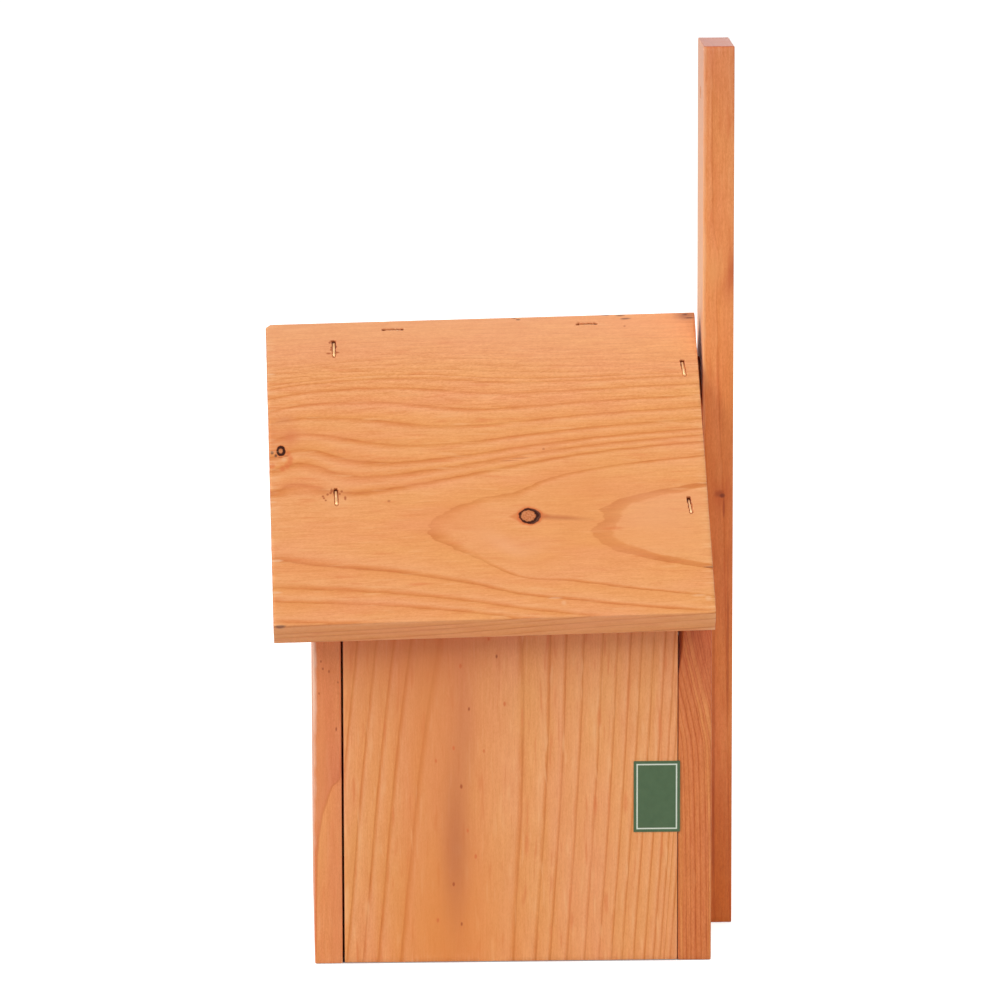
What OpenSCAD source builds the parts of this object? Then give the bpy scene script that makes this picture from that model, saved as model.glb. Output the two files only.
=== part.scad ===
/* [Box] */
// Width of the box across its front board
box_w = 220; // [190:1:260]
// Depth of the box from its front face to its back face
box_d = 214; // [180:1:260]
// Height of the front board at its side edges, where the gable begins
eave_h = 199.5; // [170:0.5:240]
// Thickness of the front board
front_t = 15; // [12:0.5:20]
// Thickness of the back board
back_t = 18; // [14:0.5:24]
// Thickness of the two side boards
side_t = 15; // [12:0.5:20]
// Thickness of the floor board
floor_t = 15; // [12:0.5:20]
// Open slot between the top of each side board and the roof, measured upright
vent_gap = 8.5; // [6:0.5:14]
// Length cut off each corner of the floor, so that water drains
drain_cut = 12; // [8:1:20]

/* [Roof] */
// Slope of the roof boards in degrees
roof_slope = 45; // [38:1:50]
// Rise of the roof towards the back in degrees
roof_tilt = 1.3; // [0:0.1:3]
// Thickness of the roof boards
roof_t = 17; // [14:0.5:22]
// Reach of the roof in front of the front board
front_over = 24; // [10:0.5:50]
// Level reach of the eaves past the side edges of the front board
eave_over = 31; // [24:0.5:60]
// Distance that the roof stops short of the batten
back_inset = 2; // [1:0.5:6]

/* [Entrance] */
// Diameter of the entrance hole
hole_d = 45; // [28:1:60]
// Height of the centre of the entrance hole above the base
hole_h = 200; // [150:1:210]
// Width of the small chamfer on both rims of the entrance hole
hole_ease = 1; // [0.5:0.1:3]

/* [Batten] */
// Length of the hanging batten
batten_l = 487; // [400:1:600]
// Width of the hanging batten
batten_w = 48; // [30:1:70]
// Thickness of the hanging batten
batten_t = 17; // [14:0.5:25]
// Diameter of the hanging hole
hang_d = 7; // [5:0.5:10]
// Distance from the top of the batten to the hanging hole
hang_drop = 28; // [15:1:60]

/* [Door] */
// Gap between the door and the front board
door_front_gap = 1.1; // [0.6:0.1:3]
// Gap between the door and the back board
door_back_gap = 0.3; // [0.2:0.1:2]
// Gap between the door and the edge of the floor that it closes on
door_stop_gap = 0.3; // [0.2:0.1:1]
// Height of the door's lower edge above the base
door_lift = 0.5; // [0.4:0.1:3]
// Distance that the door's face stands out past the board edges beside it
door_proud = 0.3; // [0:0.1:1]
// Distance from the top of the door down to its pivots
pivot_drop = 12; // [9:0.5:16]
// Radial clearance between a pivot nail and its bore in the door
pivot_clear = 0.08; // [0.03:0.01:0.1]

/* [Nails and screws] */
// Diameter of a pivot nail
nail_d = 3; // [2.5:0.1:4]
// Length of a pivot nail
nail_l = 45; // [38:1:60]
// Diameter of a nail's flat head
nail_head_d = 6.5; // [5.5:0.5:9]
// Thickness of a nail's flat head
nail_head_t = 1.2; // [0.8:0.1:2]
// Interference between a nail and the fixed board that holds it, on the radius
nail_grip = 0.05; // [0.02:0.01:0.1]
// Diameter of a batten screw
screw_d = 3.5; // [3:0.1:5]
// Length of a batten screw
screw_l = 30; // [26:1:32]
// Diameter of a batten screw's countersunk head
screw_head_d = 7; // [6:0.5:10]

/* [Staples] */
// Outer width of a staple across its crown
staple_w = 11; // [8:0.5:14]
// Thickness of the staple wire
staple_wire = 1.6; // [1.2:0.1:2]
// Length of a staple's legs
staple_leg = 38; // [30:1:45]
// Height of a roof staple's crown above the wood
staple_proud = 0.4; // [0.1:0.1:1]
// Depth that the ridge staples are sunk below the wood
ridge_sink = 1; // [0.5:0.1:2]
// Distance of the front roof staples from the inner face of the front board
front_staple_in = 2; // [1.5:0.5:10]
// Distance of the back roof staples from the inner face of the back board
back_staple_in = 6.5; // [3:0.5:12]
// Lean of the back roof staples in degrees
back_staple_turn = 6; // [0:1:15]

/* [Label] */
// Width of the plain label
label_w = 25; // [15:1:40]
// Height of the plain label
label_h = 39; // [20:1:60]
// Thickness of the plain label
label_t = 0.25; // [0.15:0.05:0.5]
// Height of the label's lower edge above the base
label_z = 71.5; // [30:0.5:110]
// Reach of the label past the door's back edge
label_over = 1.3; // [0:0.1:2]

/* [Hidden] */
$fn = 64;

// Faces of the box: the front is at -Y, the door at +X, the base at Z = 0
front_y = -box_d / 2;
back_y = box_d / 2;
side_x = box_w / 2;
inner_front_y = front_y + front_t;
inner_back_y = back_y - back_t;
inner_side_x = side_x - side_t;

// Heights that follow from the front board and the slope
gable_h = eave_h + side_x * tan(roof_slope);
side_h = eave_h - vent_gap;
pivot_h = side_h - pivot_drop;
pivot_x = side_x - side_t / 2;

// The roof boards, measured from the ridge line of their undersides
ridge_edge = roof_t * tan(roof_slope);
slope_l = (side_x + eave_over - roof_t * sin(roof_slope)) / cos(roof_slope);
roof_l = front_over + box_d - back_inset;

// Top of the back board, at the highest point of the roof's underside
gable_top = gable_h + box_d * tan(roof_tilt);

// A length larger than any piece, for what cuts along a plane, and the run of a cut past a face
reach = 3 * (box_w + box_d);
past = 1;

// Door edges
door_front_y = inner_front_y + door_front_gap;
door_back_y = inner_back_y - door_back_gap;

// Depth of a nail's bore in the door past the nail's tip, and the length of the tip
bore_spare = 1.5;
nail_tip = 3;

// Distances of the roof staples down the slope from the ridge's outer edge
door_side_front_down = [18, 116];
door_side_back_down = [38, 129];
fixed_side_down = [50, 120];

// Distances of the ridge staples from the front face, and from the ridge's outer edge
ridge_staple_along = [46, 151];
ridge_staple_down = 6;

// Heights of the wall staples, and the places of the staples into the floor
wall_staple_h = [42, 104, 166];
floor_staple_x = [-56, 56];
side_staple_y = [-46, 46];

// Heights of the batten screws, with the depth of their heads and cross recess
screw_h = [70, 240];
screw_head_rim = 0.4;
screw_head_t = (screw_head_d - screw_d) / 2 + screw_head_rim;
recess_w = 0.9;
recess_l = 3.6;
recess_deep = 1.4;

// The place near the roof where the back board's edge beside the door is planed away
wane_from = 160;
wane_rise = 22;
wane_t = 1.4;
wane_w = 7;

pine = [0.87, 0.62, 0.42];
dark_pine = [0.80, 0.52, 0.33];
roof_pine = [0.90, 0.66, 0.44];
gold_wire = [0.80, 0.62, 0.32];
steel = [0.66, 0.66, 0.64];
green = [0.20, 0.40, 0.26];

// Puts the roof's frame in place: its Y runs along the underside's ridge line, from the front face
module on_roof() {
    translate([0, front_y, gable_h])
        rotate([roof_tilt, 0, 0])
            children();
}

// Puts a slope's frame in place: X runs down the slope and Z out of the board's underside.
// A side of 1 is the door's side, and -1 is the other one.
module on_slope(side) {
    on_roof()
        mirror([side < 0 ? 1 : 0, 0, 0])
            rotate([0, roof_slope, 0])
                children();
}

// Everything above a plane that lies some way out from a slope's underside
module above_slope(side, out) {
    on_slope(side)
        translate([-reach / 2, -reach / 2, out])
            cube([reach, reach, reach]);
}

module roof_slab(side) {
    on_slope(side)
        translate([-3 * roof_t, -front_over, 0])
            cube([3 * roof_t + slope_l, roof_l, roof_t]);
}

// A staple with its crown on the XY plane, its top face proud of it, and its legs down -Z
module staple(proud) {
    translate([-staple_w / 2, -staple_wire / 2, proud - staple_wire])
        cube([staple_w, staple_wire, staple_wire]);
    for (end = [-1, 1])
        translate([end * (staple_w - staple_wire) / 2 - staple_wire / 2, -staple_wire / 2, proud - staple_leg])
            cube([staple_wire, staple_wire, staple_leg]);
}

// A staple in a roof board, some way down the slope and along the ridge
module roof_staple(side, down, along, turn) {
    on_slope(side)
        translate([down - ridge_edge, along, roof_t])
            rotate([0, 0, turn])
                staple(staple_proud);
}

// A nail with its head's outer face on the XY plane and its shank down -Z
module nail(radius) {
    translate([0, 0, -nail_head_t])
        cylinder(h = nail_head_t, d = nail_head_d);
    translate([0, 0, nail_tip - nail_l])
        cylinder(h = nail_l - nail_tip, r = radius);
    translate([0, 0, -nail_l])
        cylinder(h = nail_tip, r1 = radius / 4, r2 = radius);
}

// The front nail is placed from the front face, and the back nail from the back face
module at_front_pivot() {
    translate([pivot_x, front_y, pivot_h])
        rotate([90, 0, 0])
            children();
}

module at_back_pivot() {
    translate([pivot_x, back_y, pivot_h])
        rotate([-90, 0, 0])
            children();
}

// A countersunk screw with its head's face on the XY plane and its shank down -Z
module screw_body() {
    translate([0, 0, -screw_head_t])
        cylinder(h = screw_head_t, d1 = screw_d, d2 = screw_head_d);
    translate([0, 0, -screw_l])
        cylinder(h = screw_l - screw_head_t, d = screw_d);
}

module at_batten_screw(height) {
    translate([0, inner_back_y, height])
        rotate([90, 0, 0])
            children();
}

module front_board() {
    color(pine)
        difference() {
            translate([-side_x, front_y, 0])
                cube([box_w, front_t, gable_top]);
            above_slope(1, 0);
            above_slope(-1, 0);
            translate([0, front_y, hole_h])
                rotate([-90, 0, 0])
                    entrance_hole();
            at_front_pivot()
                nail(nail_d / 2 - nail_grip);
        }
}

// A hole down +Z from the XY plane through the front board, with both rims eased
module entrance_hole() {
    translate([0, 0, -past])
        cylinder(h = front_t + 2 * past, d = hole_d);
    translate([0, 0, -hole_ease])
        cylinder(h = 2 * hole_ease, d1 = hole_d + 4 * hole_ease, d2 = hole_d);
    translate([0, 0, front_t - hole_ease])
        cylinder(h = 2 * hole_ease, d1 = hole_d, d2 = hole_d + 4 * hole_ease);
}

module back_board() {
    color(dark_pine)
        difference() {
            translate([-side_x, inner_back_y, 0])
                cube([box_w, back_t, gable_top]);
            above_slope(1, 0);
            above_slope(-1, 0);
            at_back_pivot()
                nail(nail_d / 2 - nail_grip);
            for (height = screw_h)
                at_batten_screw(height)
                    screw_body();
            translate([side_x - wane_w, inner_back_y, wane_from])
                rotate([90, 0, 90])
                    linear_extrude(wane_w + past)
                        polygon([[0, 0], [2 * wane_t, 2 * wane_rise], [-past, 2 * wane_rise], [-past, 0]]);
        }
}

module fixed_side() {
    color(pine)
        translate([-side_x, inner_front_y, 0])
            cube([side_t, inner_back_y - inner_front_y, side_h]);
}

module side_door() {
    bore_r = nail_d / 2 + pivot_clear;
    bore_l = nail_l + bore_spare;
    color(pine)
        difference() {
            translate([inner_side_x, door_front_y, door_lift])
                cube([side_t + door_proud, door_back_y - door_front_y, side_h - door_lift]);
            at_front_pivot()
                translate([0, 0, -bore_l])
                    cylinder(h = bore_l, r = bore_r);
            at_back_pivot()
                translate([0, 0, -bore_l])
                    cylinder(h = bore_l, r = bore_r);
        }
}

module floor_board() {
    floor_x = inner_side_x - door_stop_gap;
    color(dark_pine)
        linear_extrude(floor_t)
            polygon([
                [-inner_side_x + drain_cut, inner_front_y], [floor_x - drain_cut, inner_front_y],
                [floor_x, inner_front_y + drain_cut], [floor_x, inner_back_y - drain_cut],
                [floor_x - drain_cut, inner_back_y], [-inner_side_x + drain_cut, inner_back_y],
                [-inner_side_x, inner_back_y - drain_cut], [-inner_side_x, inner_front_y + drain_cut]
            ]);
}

// This board covers the edge of the other one at the ridge
module door_side_roof() {
    color(roof_pine)
        difference() {
            roof_slab(1);
            above_slope(-1, roof_t);
            for (along = ridge_staple_along)
                on_slope(1)
                    translate([ridge_staple_down - ridge_edge, along, roof_t])
                        cube([staple_wire, staple_w, 2 * ridge_sink], center = true);
        }
}

module fixed_side_roof() {
    color(roof_pine)
        difference() {
            roof_slab(-1);
            above_slope(1, 0);
        }
}

module hanging_batten() {
    color(pine)
        difference() {
            translate([-batten_w / 2, back_y, 0])
                cube([batten_w, batten_t, batten_l]);
            for (height = screw_h)
                at_batten_screw(height)
                    screw_body();
            translate([0, back_y - past, batten_l - hang_drop])
                rotate([-90, 0, 0])
                    cylinder(h = batten_t + 2 * past, d = hang_d);
        }
}

module front_pivot_nail() {
    color(steel)
        at_front_pivot()
            nail(nail_d / 2);
}

module back_pivot_nail() {
    color(steel)
        at_back_pivot()
            nail(nail_d / 2);
}

module batten_screws() {
    color(gold_wire)
        for (height = screw_h)
            at_batten_screw(height)
                difference() {
                    screw_body();
                    for (turn = [0, 90])
                        rotate([0, 0, turn])
                            cube([recess_l, recess_w, 2 * recess_deep], center = true);
                }
}

module door_side_roof_staples() {
    color(gold_wire) {
        for (down = door_side_front_down)
            roof_staple(1, down, front_t - front_staple_in, 0);
        for (down = door_side_back_down)
            roof_staple(1, down, box_d - back_t + back_staple_in, back_staple_turn);
    }
}

module fixed_side_roof_staples() {
    color(gold_wire)
        for (down = fixed_side_down) {
            roof_staple(-1, down, front_t - front_staple_in, 0);
            roof_staple(-1, down, box_d - back_t + back_staple_in, 0);
        }
}

module ridge_staples() {
    color(gold_wire)
        for (along = ridge_staple_along)
            on_slope(1)
                translate([ridge_staple_down - ridge_edge, along, roof_t])
                    rotate([0, 0, 90])
                        staple(-ridge_sink);
}

// Staples in a face whose outward normal is +Z: upright ones into the fixed side's edge,
// and level ones into the floor's edge
module wall_staples() {
    for (height = wall_staple_h)
        translate([-pivot_x, height, 0])
            rotate([0, 0, 90])
                staple(staple_proud);
    for (place = floor_staple_x)
        translate([place, floor_t / 2, 0])
            staple(staple_proud);
}

module front_staples() {
    color(gold_wire)
        translate([0, front_y, 0])
            rotate([90, 0, 0])
                wall_staples();
}

module back_staples() {
    color(gold_wire)
        translate([0, back_y, 0])
            mirror([0, 1, 0])
                rotate([90, 0, 0])
                    wall_staples();
}

module side_staples() {
    color(gold_wire)
        for (place = side_staple_y)
            translate([-side_x, place, floor_t / 2])
                rotate([0, -90, 0])
                    rotate([0, 0, 90])
                        staple(staple_proud);
}

module label() {
    color(green)
        translate([side_x + door_proud, door_back_y + label_over - label_w, label_z])
            cube([label_t, label_w, label_h]);
}

front_board();
back_board();
fixed_side();
side_door();
floor_board();
door_side_roof();
fixed_side_roof();
hanging_batten();
front_pivot_nail();
back_pivot_nail();
batten_screws();
door_side_roof_staples();
fixed_side_roof_staples();
ridge_staples();
front_staples();
back_staples();
side_staples();
label();
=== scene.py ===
import math
from functools import reduce

import bmesh
import bpy
from mathutils import Matrix, Vector, noise


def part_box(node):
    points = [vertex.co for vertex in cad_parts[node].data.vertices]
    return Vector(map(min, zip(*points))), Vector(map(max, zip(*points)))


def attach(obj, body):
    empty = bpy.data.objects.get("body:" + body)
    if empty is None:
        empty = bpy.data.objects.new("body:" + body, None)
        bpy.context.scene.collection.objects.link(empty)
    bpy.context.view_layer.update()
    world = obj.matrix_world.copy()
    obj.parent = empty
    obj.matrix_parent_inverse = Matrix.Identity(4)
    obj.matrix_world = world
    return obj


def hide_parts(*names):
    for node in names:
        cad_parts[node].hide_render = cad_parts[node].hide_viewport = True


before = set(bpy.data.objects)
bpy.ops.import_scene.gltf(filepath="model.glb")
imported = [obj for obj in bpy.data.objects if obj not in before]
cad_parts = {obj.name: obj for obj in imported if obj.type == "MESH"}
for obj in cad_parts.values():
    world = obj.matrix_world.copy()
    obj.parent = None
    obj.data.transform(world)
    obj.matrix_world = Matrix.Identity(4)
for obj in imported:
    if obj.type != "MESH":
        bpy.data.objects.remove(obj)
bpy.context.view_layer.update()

mm = 0.001
print("frame loaded:", len(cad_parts), "nodes")


# Places. A board is modelled in its own millimetres: x runs along the grain, y across the board,
# and z down into the wood from its outer face. Its place turns that into the frame's metres.

def placeOf(origin, along, across):
    along, across = Vector(along).normalized(), Vector(across).normalized()
    turn = Matrix((along, across, along.cross(across))).transposed().to_4x4()
    return Matrix.Translation(Vector(origin)) @ turn @ Matrix.Scale(mm, 4)


roof = {
    "slope": 45,            # degrees, both boards
    "tilt": 1.3,            # degrees, up towards the back
    "thick": 17,
    "length": 236,          # along the ridge
    "down": 182.4,          # from the ridge line of the undersides to the eave edge
    "frontOver": 24,        # in front of the front board
    "gable": 309.5,         # height of the ridge line at the front face
}

tiltTurn = Matrix.Rotation(math.radians(roof["tilt"]), 3, "X")
slopeAngle = math.radians(roof["slope"])
alongRidge = tiltTurn @ Vector((0, 1, 0))
ridgePoint = Vector((0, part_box("front_board")[0].y, roof["gable"] * mm))


def slopeOf(side):
    down = tiltTurn @ Vector((side * math.cos(slopeAngle), 0, -math.sin(slopeAngle)))
    out = tiltTurn @ Vector((side * math.sin(slopeAngle), 0, math.cos(slopeAngle)))
    return down, out


# Nodes. They go into the tree that was begun last. Their values go to sockets by place or name: a
# socket is linked, and anything else is set.

current = {}


def begin(owner):
    owner.use_nodes = True
    current["tree"] = owner.node_tree
    current["tree"].nodes.clear()
    return owner


def paint(red, green, blue):
    def level(part):
        part = part / 255
        return part / 12.92 if part <= 0.04045 else ((part + 0.055) / 1.055) ** 2.4
    return (level(red), level(green), level(blue), 1)


def put(kind, values=None, **settings):
    node = current["tree"].nodes.new("ShaderNode" + kind)
    for key, value in settings.items():
        setattr(node, key, value)
    for place, value in (values or {}).items():
        if isinstance(value, bpy.types.NodeSocket):
            current["tree"].links.new(value, node.inputs[place])
        else:
            node.inputs[place].default_value = value
    return node


def maths(operation, *values):
    return put("Math", dict(enumerate(values)), operation=operation).outputs[0]


def plus(first, second):
    return maths("ADD", first, second)


def minus(first, second):
    return maths("SUBTRACT", first, second)


def times(first, second):
    return maths("MULTIPLY", first, second)


def over(first, second):
    return maths("DIVIDE", first, second)


def larger(first, second):
    return maths("MAXIMUM", first, second)


def timesPlus(first, second, third):
    return maths("MULTIPLY_ADD", first, second, third)


def vectorMaths(operation, *values):
    node = put("VectorMath", dict(enumerate(values)), operation=operation)
    return node.outputs["Value" if operation in ("LENGTH", "DOT_PRODUCT") else "Vector"]


def spread(value, low, high, toLow=0.0, toHigh=1.0, kind="LINEAR"):
    # turns the range from low to high into another one, and holds its ends
    values = {0: value, 1: low, 2: high, 3: toLow, 4: toHigh}
    return put("MapRange", values, interpolation_type=kind).outputs[0]


usual = (0.3, 0.7)                  # most of a noise lies between these


def swing(value, change):
    # a noise turned into a change up and down
    return spread(value, *usual, -change, change)


def mixed(share, first, second, blend="MIX"):
    node = put("Mix", {0: share, 6: first, 7: second}, data_type="RGBA", blend_type=blend)
    return node.outputs[2]


def washed(share, colour, wash, blend="MIX"):
    return mixed(share, colour, paint(*wash), blend)


def ramp(value, stops):
    node = put("ValToRGB", {0: value})
    elements = node.color_ramp.elements
    elements[0].position, elements[1].position = stops[0][0], stops[-1][0]
    for position, colour in stops[1:-1]:
        elements.new(position)
    for element, (position, colour) in zip(elements, stops):
        element.color = paint(*colour)
    return node.outputs[0]


def polyline(value, points):
    # straight between the points and level beyond them, and as sharp as they are
    level = points[0][1]
    for (fromX, fromY), (toX, toY) in zip(points, points[1:]):
        level = plus(level, spread(value, fromX, toX, 0.0, toY - fromY))
    return level


def curve(value, points):
    # a smooth curve through points in their own units
    lowX, highX = points[0][0], points[-1][0]
    lowY, highY = min(y for x, y in points), max(y for x, y in points)
    node = put("FloatCurve", {1: spread(value, lowX, highX)})
    line = node.mapping.curves[0]
    places = [((x - lowX) / (highX - lowX), (y - lowY) / (highY - lowY)) for x, y in points]
    line.points[0].location, line.points[1].location = places[0], places[-1]
    for place in places[1:-1]:
        line.points.new(*place)
    for point in line.points:
        point.handle_type = "AUTO_CLAMPED"
    node.mapping.update()
    return spread(node.outputs[0], 0.0, 1.0, lowY, highY)


def noisy(vector, scale, detail, rough=0.5, colour=False):
    values = {"Vector": vector, "Scale": scale, "Detail": detail, "Roughness": rough}
    return put("TexNoise", values).outputs["Color" if colour else "Fac"]


def ownPoint(origin, turn):
    # the point of a surface in millimetres, from a piece's own origin and along its own axes
    coords = put("TexCoord").outputs["Object"]
    values = {0: coords, 1: origin, 2: turn, 3: (mm, mm, mm)}
    return put("Mapping", values, vector_type="TEXTURE").outputs[0]


def finishShader(values, height, bumpDepth):
    bump = put("Bump", {"Strength": 1.0, "Distance": bumpDepth, "Height": height}).outputs[0]
    shader = put("BsdfPrincipled", {**values, "Normal": bump})
    put("OutputMaterial", {0: shader.outputs[0]})


# Wood. The rings are cylinders round a pith line beside or under the board, so that faces, edges
# and ends all follow one tree. Knots push them aside.

wood = {
    "ring": [                       # from one dark line outwards to the next, away from the pith
        (0.0, (214, 126, 58)), (0.03, (220, 135, 68)), (0.06, (226, 144, 77)), (0.1, (231, 150, 84)),
        (0.16, (234, 154, 90)), (0.4, (237, 158, 97)), (0.65, (239, 163, 105)), (0.82, (240, 165, 110)),
        (0.88, (233, 152, 94)), (0.93, (223, 137, 72)), (0.97, (212, 122, 53)), (1.0, (205, 112, 42)),
    ],
    "plain": (236, 159, 100),
    "pink": (238, 154, 108),
    "yellow": (236, 164, 96),
    "streak": (224, 126, 68),
    "lightStreak": (246, 182, 128),
    "pale": (248, 198, 160),
    "paleRing": (255, 196, 126),
    # painted sheen: pale wood where a face catches the white surround at a grazing angle
    "wearAndSheen": (255, 234, 210),
    "fuzz": (246, 190, 146),
    "spot": (172, 74, 30),
    "dirt": (104, 66, 62),
    "bark": (62, 26, 15),
    "barkPale": (122, 78, 66),
    "heart": (194, 108, 64),
    "heartPale": (224, 148, 104),
    "halo": (220, 106, 50),
    "eye": (218, 122, 62),
    "ember": (222, 112, 58),
    "tornEdge": (186, 100, 52),
    "fleck": (172, 80, 28),
    # darkest in a staple's groove at its deep end: torn wood with painted shade in the hollow
    "tornDeepAndShade": (104, 40, 16),
    "endGrain": (222, 196, 184),    # multiplies the colour where the grain is cut across
    "line": (1.2, 0.3, 0.96),       # soft and sharp side of a dark line in mm, and how dark it gets
    "evenRing": [(0, 0), (0.12, 0.12), (0.6, 0.8), (1, 1)],     # makes the dark part of a ring wider
    "years": (0.11, 4.0),           # per mm and in rings, the slow change in the widths of even rings
    "patches": 0.5,
    "fibres": 0.12,                 # lighter and darker by this much, and the fine ones as much again
    "mottle": 0.035,
    "redShare": 0.5,                # red changes less than green from fibre to fibre
    "blueShare": 1.7,               # and blue more
    "streaky": 0.4,
    "fuzzReach": 7.0,               # mm from a sawn end
    "fuzzy": 0.5,
    "ragged": 0.5,                  # mm
    "cutAcross": (0.45, 0.9),       # cosines between a face and the grain, from no end grain to full
    "dullEnd": 0.8,
    "relief": (0.7, 0.5),           # of the fibres and of the fine grain
    "spotEdge": (1.0, 0.4),         # a mark fades in between these, in its own half widths
    "roughness": (0.4, 0.54),
    "gloss": (0.42, 0.08),          # on plain wood, and where it is dull
    "sheen": (0.3, 0.35),           # its weight and roughness
    "bump": 0.00003,
}

grain = {                           # noise per mm along and across the grain, detail and roughness
    "wander": (0.009, 0.016, 1.0, 0.5),
    "ragged": (0.09, 0.3, 2.0, 0.5),
    "patch": (0.014, 0.06, 2.0, 0.5),
    "mottle": (0.07, 0.2, 3.0, 0.5),
    "fibre": (0.06, 0.9, 4.0, 0.65),
    "fine": (0.6, 1.8, 2.0, 0.7),
    "streak": (0.05, 0.42, 1.0, 0.5),
}

where = {                           # over which part of a noise or of chance a colour comes in
    "pink": (0.5, 0.72),
    "yellow": (0.5, 0.3),
    "streak": (0.62, 0.76),
    "lightStreak": (0.38, 0.24),
    "paleRing": (0.24, 0.12),
    "fuzz": (0.5, 0.66),
    "heartPale": (0.35, 0.65),
    "fibre": (0.25, 0.75),
}

seedStep = 97.0                     # mm between the parts of the noise that two boards read


def stainAndLight(at, reach, amount, colour, onEdge=False):
    return {"at": at, "reach": reach, "amount": amount, "colour": colour, "onEdge": onEdge}


def mark(colour, amount, size, *places):
    # a place given without a depth is on the outer face, and the mark goes 3 mm deep
    places = [(*place, 0)[:3] for place in places]
    return {"colour": colour, "amount": amount, "size": (*size, 3)[:3], "places": places}


def tailedKnot(at, size, reach, push, tail, tailLean):
    return {"at": at, "size": size, "reach": reach, "push": push, "tail": tail, "tailLean": tailLean}


def grainNoise(shifted, kind, colour=False):
    along, across, detail, rough = grain[kind]
    stretched = vectorMaths("MULTIPLY", shifted, (along, across, across))
    return noisy(stretched, 1.0, detail, rough, colour)


def dyed(colour, value, name, amount):
    return washed(spread(value, *where[name], 0.0, amount), colour, wood[name])


def crisp(rings, soft, sharp, deepest):
    # a wide ring leaves its dark line at once, stays pale, and darkens over its last millimetres
    paleFrom, paleTo, edge, wide = 0.12, 0.82, 0.02, 1.2
    points = [rings[0]]
    for (start, number), (end, following) in zip(rings, rings[1:]):
        if following - number == 1 and end - start > wide * (soft + sharp):
            points += [(start + sharp, number + paleFrom), (end - soft, number + paleTo),
                       (end - edge, number + deepest)]
        points.append((end, following))
    return points


def bell(first, second):
    # 1 where both are 0, and almost nothing where one of them is 2
    square = timesPlus(first, first, times(second, second))
    return maths("EXPONENT", times(square, -1.0))


def nearness(u, side, thing):
    # to the middle of a knot, a dent or a stain
    away = [over(minus(value, at), reach)
            for value, at, reach in zip((u, side), thing["at"], thing["reach"])]
    return bell(*away)


def shiftNearness(u, v, shift):
    # its middle may lean along the grain, and its reach may grow across it
    leastReach = 16.0
    back = minus(shift["at"][1], v)
    middle = timesPlus(back, shift.get("lean", 0.0), shift["at"][0])
    reach = larger(timesPlus(back, shift.get("grow", 0.0), shift["reach"][0]), leastReach)
    du = over(minus(u, middle), reach)
    return bell(du, over(back, shift["reach"][1]))


def wandered(inBoard, shifted, board):
    # the grain wanders slowly, and every line is a little ragged
    sways = []
    for kind, far in (("wander", board["wander"]), ("ragged", board.get("ragged", wood["ragged"]))):
        sway = vectorMaths("SUBTRACT", grainNoise(shifted, kind, colour=True), (0.5, 0.5, 0.5))
        sways.append(vectorMaths("MULTIPLY", sway, (0, far, far)))
    moved = vectorMaths("ADD", inBoard, vectorMaths("ADD", *sways))
    return put("SeparateXYZ", {0: moved}).outputs


def pushed(u, side, knot):
    offset = minus(side, knot["at"][1])
    push = timesPlus(offset, -knot["push"], knot.get("lift", 0.0))
    return timesPlus(push, nearness(u, side, knot), side)


def pushedAside(moved, board):
    # where the tree's own grain lies at a point: shifts and knots have pushed it aside
    u, v, w = moved[0], moved[1], moved[2]
    for shift in board.get("shifts", []):
        v = timesPlus(shiftNearness(u, v, shift), shift["lift"], v)
    for knot in board.get("knots", []):
        if "reach" not in knot:         # it is only painted
            continue
        if knot.get("onEdge"):
            w = pushed(u, w, knot)
        else:
            v = pushed(u, v, knot)
    return u, v, w


def fromPith(u, v, w, board):
    startAcross, leanAcross = board["pithAcross"]
    across = minus(v, timesPlus(u, leanAcross, startAcross))
    depth = minus(curve(u, board["pithDepth"]), w)
    for dent in board.get("dents", []):
        depth = timesPlus(nearness(u, v, dent), dent["deeper"], depth)
    radius = vectorMaths("LENGTH", put("CombineXYZ", {0: across, 1: depth}).outputs[0])
    return across, radius


def ringCount(across, radius, board):
    if "ringWidth" in board:
        perMm, change = wood["years"]
        values = {"W": times(radius, perMm), "Scale": 1.0, "Detail": 2.0}
        years = put("TexNoise", values, noise_dimensions="1D").outputs["Fac"]
        return timesPlus(radius, 1 / board["ringWidth"], times(years, change))
    line = board.get("line", wood["line"])
    rings = polyline(radius, crisp(board["rings"], *line))
    if "ringsFar" in board:             # the rings are wider on the far side of the pith
        far = polyline(radius, crisp(board["ringsFar"], *line))
        rings = timesPlus(minus(far, rings), spread(across, -6.0, 6.0), rings)
    return rings


def ringColour(rings, radius, board):
    inRing = maths("FRACT", rings)
    if "ringWidth" in board:
        inRing = polyline(inRing, wood["evenRing"])
    number = plus(maths("FLOOR", rings), board["seed"] * seedStep)
    chance = put("TexWhiteNoise", {"W": number}, noise_dimensions="1D").outputs["Value"]
    strength = spread(chance, 0.0, 1.0, *board.get("ringStrength", (0.5, 1.0)))
    if "fade" in board:
        strength = times(strength, polyline(radius, board["fade"]))
    plain = paint(*board.get("plain", wood["plain"]))
    colour = mixed(strength, plain, ramp(inRing, wood["ring"]))
    if "paleRings" in board:            # a few rings are paler, by chance
        colour = dyed(colour, chance, "paleRing", board["paleRings"])
    return colour


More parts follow.
